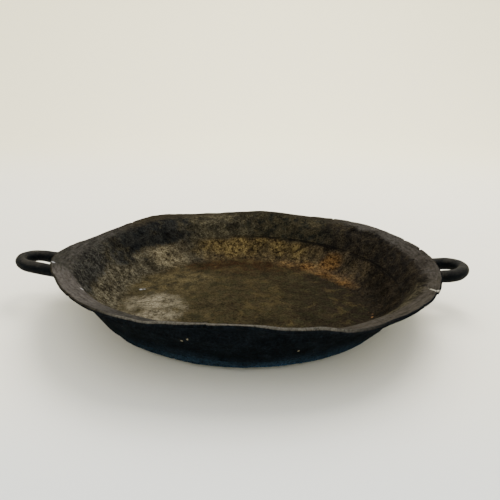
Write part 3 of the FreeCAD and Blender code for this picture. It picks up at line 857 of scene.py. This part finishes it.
class Finish:
    """A material and the nodes that make it."""

    def __init__(self, name):
        self.material = bpy.data.materials.new(name)
        self.material.use_nodes = True
        self.tree = self.material.node_tree
        self.tree.nodes.clear()
        self.place = self.node("ShaderNodeTexCoord", {}, {}, "Object")
        self.x, self.y, self.z = (
            self.node("ShaderNodeSeparateXYZ", {}, {0: self.place}, axis) for axis in ("X", "Y", "Z")
        )

    def node(self, kind, settings, values, result=0):
        """Adds a node, gives it its settings and then its values or links, and returns one of its results."""
        made = self.tree.nodes.new(kind)
        for name, value in settings.items():
            setattr(made, name, value)
        for key, value in values.items():
            socket = self.socket(made.inputs, key)
            if isinstance(value, Value):
                self.tree.links.new(value.output, socket)
            elif socket.type == "RGBA":
                socket.default_value = (*value, 1)
            else:
                socket.default_value = value
        return None if result is None else Value(self, self.socket(made.outputs, result))

    @staticmethod
    def socket(sockets, key):
        if isinstance(key, int):
            return sockets[key]
        return next(s for s in sockets if key in (s.identifier, s.name))

    def mix(self, amount, first, second):
        """From the first colour to the second by an amount from 0 to 1."""
        values = {"Factor_Float": amount, "A_Color": first, "B_Color": second}
        return self.node("ShaderNodeMix", {"data_type": "RGBA"}, values, "Result_Color")

    def mottled(self, layer, low, high, pair):
        """From the first to the second colour of a pair, as a layer of noise rises from low to high."""
        return self.mix(self.step(layer, low, high), *pair)

    def shade(self, colour, amount):
        return self.node("ShaderNodeVectorMath", {"operation": "SCALE"}, {0: colour, "Scale": amount})

    def vector(self, *parts):
        return self.node("ShaderNodeCombineXYZ", {}, dict(enumerate(parts)))

    def mottle(self, size, detail, rough, at=None, distortion=0.0):
        """Soft noise from 0 to 1 with features of about this size."""
        values = {"Vector": at or self.place, "Scale": 1 / size, "Detail": detail}
        values.update({"Roughness": rough, "Distortion": distortion})
        return self.node("ShaderNodeTexNoise", {}, values, "Fac")

    def step(self, value, low, high):
        """0 below low, 1 above high and smooth between them."""
        values = {"Value": value, "From Min": low, "From Max": high}
        return self.node("ShaderNodeMapRange", {"interpolation_type": "SMOOTHSTEP"}, values)

    def finish(self, colour, roughness, relief, **shader):
        """Ends the material: a bump from the relief, and one shader with its colour and roughness."""
        bump = self.node("ShaderNodeBump", {}, {"Height": relief, "Distance": 1.0, "Strength": 1.0}, "Normal")
        values = {"Base Color": colour, "Roughness": roughness, "Normal": bump}
        values.update({name.replace("_", " "): value for name, value in shader.items()})
        surface = self.node("ShaderNodeBsdfPrincipled", {}, values, "BSDF")
        self.node("ShaderNodeOutputMaterial", {}, {"Surface": surface}, None)
        return self.material


class PanFinish(Finish):
    """The pan's finish, with the layers of grime that all its coats share, from grit to broad stains."""

    def __init__(self, name):
        super().__init__(name)
        self.grit = self.mottle(2.0 * MM, 3.0, 0.72)
        self.fine = self.mottle(5.5 * MM, 7.0, 0.74, distortion=0.2)
        self.medium = self.mottle(16 * MM, 6.0, 0.68, distortion=0.4)
        self.broad = self.mottle(48 * MM, 4.0, 0.6)
        self.hue = self.mottle(11 * MM, 6.0, 0.7, at=self.moved((0.31, 0.17, 0.05)))
        self.stain = self.mottle(24 * MM, 6.0, 0.68, at=self.moved((0.73, 0.41, 0.2)), distortion=0.6)
        self.chips = self.hue + (self.grit - 0.5) * 0.5
        self.stray = (self.broad - 0.5) * 80 * MM + (self.fine - 0.5) * 50 * MM
        self.blotch = (self.medium - 0.5) * 1.6 + (self.fine - 0.5) * 2.4 + (self.grit - 0.5) * 5.0
        self.radius = (self.x * self.x + self.y * self.y + 1e-8) ** 0.5

    def moved(self, offset):
        return self.node("ShaderNodeVectorMath", {"operation": "ADD"}, {0: self.place, 1: offset})

    def stored(self, name):
        """A share that mark() has stored at the piece's points."""
        return self.node("ShaderNodeAttribute", {"attribute_name": name}, {}, "Fac")

    def facing(self, degrees):
        """Cosine of the angle round the pan from this direction."""
        return (self.x * cos(radians(degrees)) + self.y * sin(radians(degrees))) / self.radius

    def sector(self, direction, inner, outer, ragged, layer=None):
        """1 within inner degrees of a direction round the pan and 0 beyond outer, with a ragged edge."""
        strayed = self.facing(direction) + ((layer or self.medium) - 0.5) * ragged
        return self.step(strayed, cos(radians(outer)), cos(radians(inner)))

    def ring(self, inner, outer, stray):
        """1 between two radii, with soft and ragged edges."""
        radius = self.radius + stray
        rising = self.step(radius, inner - 5 * MM, inner + 5 * MM)
        return rising * (1 - self.step(radius, outer - 8 * MM, outer + 8 * MM))

    def spots(self, spots, stray=None, mask=0.0):
        """A mask with spots added, each given as a place, and the distances from there within which it is
        whole and beyond which it is gone, in mm. A stray distance makes their edges ragged."""
        for spot in spots:
            *place, inner, outer = (number * MM for number in spot)
            values = {0: self.place, 1: place}
            distance = self.node("ShaderNodeVectorMath", {"operation": "DISTANCE"}, values, "Value")
            distance = distance + stray if stray else distance
            mask = mask + (1 - self.step(distance, inner, outer)) * (1 - mask)
        return mask


# coats of the pan


def tones(light, **colours):
    """Named colours of coats, each given as a screen shows it, from 0 to 255, in light of this colour.
    A pair of colours is for a mottled coat."""

    def coat(colour):
        if isinstance(colour[0], tuple):
            return [coat(tint) for tint in colour]
        shares = (level / 255 for level in colour)
        linear = (s / 12.92 if s <= 0.04045 else ((s + 0.055) / 1.055) ** 2.4 for s in shares)
        return tuple(level / falling for level, falling in zip(linear, light))

    return SimpleNamespace(**{name: coat(colour) for name, colour in colours.items()})


FLOOR = tones(
    (2.10, 2.00, 1.62),
    olive=((76, 66, 41), (61, 52, 32)),
    dark_olive=(45, 38, 26),
    red_brown=(57, 41, 23),
    green_olive=(53, 51, 30),
    stain=(35, 31, 20),
    straw=(92, 78, 44),
    gold=((98, 85, 52), (62, 55, 36)),
    grey=((82, 73, 50), (142, 130, 98)),
    brown_grey=(74, 66, 45),
    speck=(44, 41, 29),
    white=(190, 184, 166),
    rust=(140, 102, 62),
)
LEFT = tones(
    (1.95, 1.80, 1.45),
    brown=((78, 70, 50), (44, 40, 29)),
    scale=((54, 48, 34), (102, 92, 67)),
    grey=((38, 36, 30), (64, 60, 48)),
    stain=(24, 22, 17),
)
BACK = tones(
    (1.05, 0.98, 0.78),
    brown=((54, 45, 28), (38, 32, 22)),
    gold=((46, 36, 20), (96, 79, 42)),
    rust=((46, 32, 16), (84, 60, 29)),
    tan=((56, 47, 30), (98, 87, 60)),
    # seam: the colour of the painted shadow in the seam's gap
    seam=(12, 11, 8),
    flange=(58, 53, 43),
)
RIGHT = tones(
    (1.75, 1.62, 1.45),
    burnt=((42, 35, 25), (27, 24, 18)),
    stain=(32, 27, 18),
    flange=((72, 65, 56), (55, 49, 41)),
    front_flange=(68, 61, 51),
    back_flange=(54, 47, 35),
    flange_stain=(50, 44, 36),
    flake=(186, 174, 150),
)
UPPER = tones(
    (1.12, 1.02, 0.84),
    brown=((66, 58, 39), (43, 38, 26)),
    green=((50, 43, 27), (29, 28, 20)),
    black=((36, 30, 20), (23, 20, 15)),
    char=((31, 29, 23), (20, 20, 17)),
)
IRON = tones(
    (2.60, 2.45, 2.30),
    bare=((82, 76, 68), (66, 62, 54)),
    # a worn patch on the front left of the flange, painted lighter as well where light falls on it
    rubbed=(98, 90, 82),
    lip=((70, 63, 50), (46, 41, 33)),
    brown_lip=(84, 78, 67),
    bright_lip=(124, 115, 100),
    sooty_lip=(26, 28, 30),
)
SOOT = tones(
    (0.95, 0.92, 0.88),
    black=((6, 9, 11), (12, 16, 19)),
    # the two bluish tones next are a painted reflection of the floor, low on the heel at the front
    blue_grey=(33, 48, 59),
    blue=(34, 58, 80),
    chip=(62, 61, 53),
    tan=(118, 108, 84),
)
HANDLE = tones(
    (1.80, 1.80, 1.80),
    # soot: the bar's own dark colour, which also stands in for the shade under the bar
    soot=((12, 17, 20), (6, 9, 11)),
    # a browner painted highlight for the bar's upper side, over iron worn by hands
    rubbed=((52, 49, 43), (33, 32, 29)),
    brass=(110, 84, 40),
    tarnish=(50, 42, 26),
    crust=(36, 31, 22),
)

# spots: place, whole within and gone beyond, in mm
FLOOR_GOLD = ((-92, 58, 3, 20, 60),)
FLOOR_GREY = ((-106, -9, 3, 18, 38), (-96, -44, 3, 10, 28))
FLOOR_SPECKS = ((-78, -10, 3, 40, 80),)
WALL_TAN = ((-106, 108, 12, 4, 52),)
WALL_GOLD = (
    (-64, 140, 17, 6, 24),
    (-41, 151, 20, 7, 20),
    (-12, 156, 20, 7, 20),
    (17, 160, 28, 6, 16),
    (46, 150, 21, 8, 20),
    (66, 138, 20, 6, 22),
    (-24, 152, 11, 6, 20),
    (2, 153, 12, 6, 18),
)
WALL_RUST = ((95, 77, 3, 6, 20), (113, 54, 3, 4, 17), (77, 111, 3, 3, 15), (107, 103, 13, 6, 20))
WHITE_FLECKS = (
    (-194.6, -48.6, 61.0, 1.2, 2.8),
    (-149.5, -101.6, 54.6, 1.0, 2.4),
    (-124.2, 25.2, 2.5, 1.0, 2.6),
    (-120.4, 26.6, 2.5, 0.6, 1.6),
)
RUST_FLECKS = ((132.9, -41.9, 3.8, 0.6, 2.0), (134.6, -34.5, 4.2, 0.4, 1.8), (131.8, -28.5, 4.0, 0.4, 1.5))
TEAR_FLAKE = (
    (170.9, -83.4, 52.9, 0.2, 1.2),
    (171.6, -86.5, 53.9, 0.5, 1.8),
    (172.4, -89.7, 54.9, 1.0, 2.4),
    (172.9, -93.8, 56.1, 1.8, 3.2),
    (173.3, -98.0, 57.3, 1.8, 3.4),
    (174.2, -101.8, 58.6, 1.6, 3.2),
    (176.6, -96.0, 57.2, 1.0, 2.6),
)
SOOT_CHIPS = (
    (-50, -170, 40, 0.7, 1.4),
    (-45, -173, 43, 0.5, 1.0),
    (-41, -176, 45, 0.8, 1.6),
    (26, -181, 48, 0.75, 1.5),
    (33, -178, 46, 0.65, 1.3),
    (44, -164, 30, 0.7, 1.4),
)


def floor_coat(f):
    """Olive seasoning, with greyer and paler patches at the left, redder towards the back."""
    coat = f.mottled(f.x + f.stray, -90 * MM, 10 * MM, FLOOR.olive)
    coat = f.mix(f.step(f.x + f.stray, 20 * MM, 115 * MM), coat, FLOOR.dark_olive)
    coat = f.mix(f.step(f.y + f.stray * 0.7, 66 * MM, 112 * MM), coat, FLOOR.red_brown)
    coat = f.mix(f.step(f.hue, 0.42, 0.62) * 0.6, coat, FLOOR.green_olive)
    coat = f.mix(f.step(f.stain, 0.52, 0.66) * 0.55, coat, FLOOR.stain)
    coat = f.mix(f.step(f.stain, 0.48, 0.34) * 0.4, coat, FLOOR.straw)
    coat = f.shade(coat, 1 + f.blotch * 0.65)
    gold = f.shade(f.mottled(f.hue, 0.4, 0.62, FLOOR.gold), 1 + f.blotch * 0.7)
    coat = f.mix(f.spots(FLOOR_GOLD, f.stray) * 0.8, coat, gold)
    grey = f.mottled(f.fine, 0.32, 0.62, FLOOR.grey)
    grey = f.mix(f.step(f.hue, 0.54, 0.64) * 0.5, grey, FLOOR.brown_grey)
    coat = f.mix(f.spots(FLOOR_GREY, f.stray), coat, f.shade(grey, 1 + f.blotch * 0.55))
    specks = f.step(f.chips, 0.62, 0.68) * f.spots(FLOOR_SPECKS)
    return f.mix(specks * 0.75, coat, FLOOR.speck)


def stained(f, coat, share, stain):
    """A coat with dark stains and fine blotches over it."""
    coat = f.mix(f.step(f.stain, 0.5, 0.62) * share, coat, stain)
    return f.shade(coat, 1 + f.blotch * 0.95)


def wall_coat(f):
    """The wall below the seam: tan scale at the left, golden grease at the back, rust at the back right."""
    coat = f.mottled(f.hue, 0.4, 0.62, BACK.brown)
    golden = f.spots(WALL_GOLD, f.stray * 0.35, f.sector(84, 14, 40, 0.6) * 0.35)
    coat = f.mix(golden, coat, f.mottled(f.fine, 0.36, 0.64, BACK.gold))
    rusty = f.ring(118 * MM, 142 * MM, f.stray * 0.2) * f.sector(40, 20, 38, 0.3) * 0.5
    rusty = f.spots(WALL_RUST, f.stray * 0.3, rusty)
    coat = f.mix(rusty, coat, f.mottled(f.fine, 0.36, 0.62, BACK.rust))
    brown = f.mottled(f.hue, 0.36, 0.64, LEFT.brown)
    coat = f.mix(f.sector(152, 22, 44, 0.4, f.broad), coat, brown)
    coat = f.mix(f.sector(178, 14, 38, 0.6), coat, f.mottled(f.fine, 0.34, 0.66, LEFT.scale))
    tan_scale = f.mottled(f.fine, 0.32, 0.66, BACK.tan)
    coat = f.mix(f.spots(WALL_TAN, f.stray * 0.8), coat, tan_scale)
    coat = f.mix(f.sector(-6, 16, 32, 0.3), coat, f.mottled(f.hue, 0.4, 0.62, RIGHT.burnt))
    return stained(f, coat, 0.65, RIGHT.stain)


def upper_coat(f):
    """The wall above the seam: burnt black at the back left and the right, mottled brown between."""
    coat = f.mottled(f.hue, 0.38, 0.62, UPPER.brown)
    coat = f.mix(f.sector(66, 12, 28, 0.4), coat, f.mottled(f.hue, 0.44, 0.6, UPPER.green))
    coat = f.mix(f.sector(14, 26, 50, 0.4), coat, f.mottled(f.hue, 0.4, 0.62, UPPER.black))
    coat = f.mix(f.sector(140, 10, 27, 0.3), coat, f.mottled(f.hue, 0.4, 0.62, UPPER.char))
    coat = f.mix(f.sector(186, 14, 32, 0.3), coat, f.mottled(f.fine, 0.36, 0.62, LEFT.grey))
    return stained(f, coat, 0.55, LEFT.stain)


def seam_gap_shadow(f):
    """A painted shadow along the seam, in the gap where the bowl's edge stands off the band at the back and
    the right.
    """
    height = f.z + (f.fine - 0.5) * 3 * MM - SEAM_HEIGHT
    line = f.step(height, -1.4 * MM, -0.3 * MM) * (1 - f.step(height, 0.5 * MM, 1.6 * MM))
    return line * f.sector(46, 30, 64, 0.5) * f.step(f.stain, 0.34, 0.46)


def inside_coat(f):
    """Floor, wall and upper wall, each running raggedly into the next, with the painted shadow in the seam's
    gap.
    """
    foot = f.radius + f.stray * 0.18 + f.sector(38, 20, 52, 0.2) * 15 * MM
    coat = f.mix(f.step(foot, 132 * MM, 147 * MM), floor_coat(f), wall_coat(f))
    edge = f.z + f.stray * 0.14 + f.sector(170, 20, 50, 0.4) * (f.stray * 0.5)
    coat = f.mix(f.step(edge, 24 * MM, 31 * MM), coat, upper_coat(f))
    # Painted shadow in the seam's gap.
    return f.mix(seam_gap_shadow(f) * 0.85, coat, BACK.seam)


def flange_coat(f):
    """Bare hammered iron, brown grey with a purple cast, browner at the back, scuffed along the rim."""
    round_rim = f.node("ShaderNodeMath", {"operation": "ARCTAN2"}, {0: f.x, 1: f.y}) * FRONT_RADIUS
    scuffs = f.mottle(2.2 * MM, 4.0, 0.65, at=f.vector(round_rim * 0.16, f.radius, f.z))
    coat = f.mottled(f.medium, 0.4, 0.62, IRON.bare)
    coat = f.mix(f.sector(0, 30, 70, 0.3), coat, f.mottled(f.medium, 0.4, 0.62, RIGHT.flange))
    coat = f.mix(f.sector(-45, 14, 34, 0.3), coat, RIGHT.front_flange)
    coat = f.mix(f.sector(42, 16, 34, 0.2), coat, BACK.flange)
    coat = f.mix(f.sector(97, 36, 60, 0.2), coat, RIGHT.back_flange)
    # A worn patch on the front left of the flange, painted lighter as well where light falls on it.
    coat = f.mix(f.sector(216, 8, 22, 0.1), coat, IRON.rubbed)
    coat = f.mix(f.step(f.stain, 0.56, 0.66) * 0.35, coat, RIGHT.flange_stain)
    return f.shade(coat, 1 + (scuffs - 0.5) * 2.2 + f.blotch * 0.35)


def lit_flange_share(f, flare):
    """1 where the flange is lit and shows its bare iron, and 0 where the inside's dark coat runs up it as
    painted shade, to a height that differs all round.
    """
    start = 0.60 + f.facing(90) * 0.26 + f.facing(0) * 0.10
    start = start - f.sector(40, 14, 40, 0.1) * 0.07 - f.sector(6, 8, 26, 0.1) * 0.14
    start = start + f.sector(-32, 8, 26, 0.1) * 0.12
    wander = (f.medium - 0.5) * 0.5 + (f.fine - 0.5) * 0.3
    return f.step(flare - start + wander, -0.14, 0.12) * f.step(flare, 0.2, 0.3)


def lip_coat(f, skin):
    """The rim's edge: worn bright along the front, sooty at the front right and towards the outside."""
    coat = f.mottled(f.fine, 0.4, 0.62, IRON.lip)
    coat = f.mix(f.sector(-58, 10, 22, 0.2), coat, IRON.brown_lip)
    coat = f.mix(f.sector(-96, 20, 34, 0.2), coat, IRON.bright_lip)
    coat = f.mix(f.sector(-34, 18, 34, 0.2), coat, IRON.sooty_lip)
    return f.shade(coat, 1 + f.blotch * 0.5 - f.step(skin, 0.3, 0.8) * 0.55)


def soot_coat(f):
    """Baked soot, bluish black and gritty, with a painted bluish reflection of the floor low on the heel at
    the front, and tan specks where it has chipped off.
    """
    coat = f.mottled(f.hue, 0.38, 0.64, SOOT.black)
    # Painted reflection: bluish grey low on the heel at the front, bluer still at its foot, for the floor's
    # light reflected there.
    heel = f.step(f.radius, 126 * MM, 136 * MM)
    low = heel * (1 - f.step(f.z + f.stray * 0.35, 0, 28 * MM))
    coat = f.mix(low * f.sector(-80, 26, 70, 0.5), coat, SOOT.blue_grey)
    lowest = heel * (1 - f.step(f.z + f.stray * 0.1, 2 * MM, 12 * MM))
    coat = f.mix(lowest * f.sector(-80, 4, 22, 0.3), coat, SOOT.blue)
    coat = f.shade(coat, 1 + f.blotch * 0.9)
    coat = f.mix(f.step(f.chips, 0.71, 0.74) * 0.6, coat, SOOT.chip)
    return f.mix(f.spots(SOOT_CHIPS), coat, SOOT.tan)


def pan_finish():
    """Old iron: seasoned, burnt and stained inside, bare on the flange and sooty outside."""
    f = PanFinish("seasoned_pan")
    flare, skin = f.stored("flare"), f.stored("outside")
    # The flange's bare iron shows where it is lit; below that edge the inside's dark coat runs up the flange
    # as painted shade.
    coat = f.mix(lit_flange_share(f, flare), inside_coat(f), flange_coat(f))
    lip = f.step(skin + f.step(flare, 0.955, 1.0) * 0.12, 0.08, 0.14) * f.step(flare, 0.9, 0.93)
    coat = f.mix(lip, coat, lip_coat(f, skin))
    stray = (f.grit - 0.5) * 3 * MM
    for flecks, colour in ((WHITE_FLECKS, FLOOR.white), (RUST_FLECKS, FLOOR.rust), (TEAR_FLAKE, RIGHT.flake)):
        coat = f.mix(f.spots(flecks, stray), coat, colour)
    outside = f.step(skin + (f.fine - 0.5) * 0.2, 0.45, 0.65)
    coat = f.mix(outside, coat, soot_coat(f))
    wrinkles = f.mottle(2 * MM, 4.0, 0.65, at=f.vector(f.x, f.y, f.z * 0.25))
    relief = f.fine * 0.7 + f.grit * 0.2 + f.medium * 0.5 + outside * wrinkles * 1.2
    glaze = {"Coat_Weight": outside * 0.05, "Coat_Roughness": 0.45, "Coat_Tint": (0.75, 0.92, 1.0)}
    return f.finish(coat, 0.75 + f.fine * 0.2, relief * MM, Specular_IOR_Level=0.0, **glaze)


# other finishes


def handle_finish():
    """Forged bar: dark soot, which under the bar stands in for shade too, and a browner painted highlight
    along the bar's upper side, where hands also wear it.
    """
    f = Finish("forged_handle_iron")
    grit = f.mottle(1.5 * MM, 4.0, 0.7)
    fine = f.mottle(6 * MM, 5.0, 0.66)
    medium = f.mottle(14 * MM, 3.0, 0.55)
    reach = (f.x * f.x) ** 0.5 - wall_radius(LEG_HEIGHT, BAND_OUTER)
    above = f.z - LEG_HEIGHT - reach * tan(TILT)
    sooty = f.mottled(fine, 0.4, 0.6, HANDLE.soot)
    rubbed = f.mottled(medium, 0.4, 0.6, HANDLE.rubbed)
    # Painted highlight: the bar is lighter above its middle line, where the light from above falls, and stays
    # dark below as painted shade.
    lit_top = f.step(above + (fine - 0.5) * 4 * MM, 1.8 * MM, 6 * MM)
    colour = f.shade(f.mix(lit_top, sooty, rubbed), 1 + (grit - 0.5) * 1.6 + (fine - 0.5) * 1.4)
    relief = (grit * 0.25 + fine * 0.7) * MM
    return f.finish(colour, 0.55 + fine * 0.25, relief, Specular_IOR_Level=0.05)


def braze_finish():
    """Brass filler gone brown, with some yellow left."""
    f = Finish("tarnished_braze")
    fine = f.mottle(2 * MM, 3.0, 0.6)
    medium = f.mottle(6 * MM, 3.0, 0.6)
    colour = f.mix(medium, HANDLE.brass, HANDLE.tarnish)
    colour = f.mix(f.step(fine, 0.5, 0.7), colour, HANDLE.crust)
    return f.finish(colour, 0.4 + medium * 0.2, (medium * 0.1 + fine * 0.05) * MM, Metallic=0.7)


def floor_finish():
    """Pale cream, yellower far behind the pan, and greyer and darker in front of it as painted shade."""
    f = Finish("pale_floor")
    broad = f.mottle(350 * MM, 2.0, 0.5)
    colour = f.mix(broad, (0.91, 0.87, 0.74), (0.87, 0.83, 0.70))
    colour = f.mix(f.step(f.y, 0.4, 1.4), colour, (0.92, 0.86, 0.63))
    # Painted shade: greyer and darker in front of the pan.
    colour = f.mix(f.step(f.y, -0.12, -0.36), colour, (0.76, 0.78, 0.76))
    return f.finish(colour, 0.85, broad * MM, Specular_IOR_Level=0.2)


def dress(piece, material, slot, *nodes):
    """Gives a piece its material, and puts it in place of the nodes that it shows."""
    piece.data.materials.clear()
    piece.data.materials.append(material)
    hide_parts(*nodes)
    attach(piece, "root")


# studio


def set_camera():
    ahead = Vector((0, cos(CAMERA_PITCH), -sin(CAMERA_PITCH)))
    level = Vector((0, sin(CAMERA_PITCH), cos(CAMERA_PITCH)))
    side = Vector((1, 0, 0))
    right = cos(CAMERA_ROLL) * side + sin(CAMERA_ROLL) * level
    up = cos(CAMERA_ROLL) * level - sin(CAMERA_ROLL) * side
    data = bpy.data.cameras.new("camera")
    data.sensor_width, data.lens = CAMERA_SENSOR, CAMERA_LENS
    camera = bpy.data.objects.new("camera", data)
    bpy.context.scene.collection.objects.link(camera)
    turned = Matrix((right, up, -ahead)).transposed().to_4x4()
    camera.matrix_world = Matrix.Translation(CAMERA_PLACE) @ turned
    bpy.context.scene.camera = camera


def make_floor():
    """A plain pale floor that curves up all round, far outside the pan."""
    profile = [(0, 0), (STUDIO_REACH / 2, 0), (STUDIO_REACH, 0)]
    for angle in np.linspace(0, pi / 2, 12)[1:]:
        profile.append((STUDIO_REACH + STUDIO_CURVE * sin(angle), STUDIO_CURVE * (1 - cos(angle))))
    profile.append((STUDIO_REACH + STUDIO_CURVE, STUDIO_TOP))
    floor = turn_profile("floor", profile, 96)
    turn_over(floor)
    smooth_finish(floor)
    floor.data.materials.append(floor_finish())


def add_lamp(name, place, target, size, power, colour):
    data = bpy.data.lights.new(name, "AREA")
    data.shape = "DISK"
    data.size, data.energy, data.color = size, power, colour
    lamp = bpy.data.objects.new(name, data)
    bpy.context.scene.collection.objects.link(lamp)
    lamp.location = place
    lamp.rotation_euler = (Vector(target) - Vector(place)).to_track_quat("-Z", "Y").to_euler()


def light_studio():
    """A soft sky, one large lamp over the pan's back and one over the ground far behind it."""
    world = bpy.data.worlds.new("studio")
    bpy.context.scene.world = world
    world.use_nodes = True
    sky = world.node_tree.nodes["Background"]
    sky.inputs["Color"].default_value = (0.95, 0.97, 1.0, 1)
    sky.inputs["Strength"].default_value = 1.6
    add_lamp("key", (0.6, 0.75, 1.95), (0, 0, 0.02), 1.3, 38, (1.0, 0.97, 0.92))
    add_lamp("back", (0.2, 1.7, 1.9), (0, 1.6, 0.2), 1.4, 40, (1.0, 0.98, 0.94))


def build():
    set_camera()
    pan = pan_finish()
    iron = handle_finish()
    dress(make_bowl(), pan, "bowl_iron", "base_bowl")
    dress(make_band(), pan, "band_iron", "rim_band")
    for side in ("left", "right"):
        dress(make_handle(side), iron, "handle_iron", f"{side}_handle")
    for piece, node in place_rivets(make_rivet()):
        dress(piece, pan, "rivet_iron", node)
    dress(make_braze(), braze_finish(), "braze", "seam_braze")
    make_floor()
    light_studio()


build()
put_down()
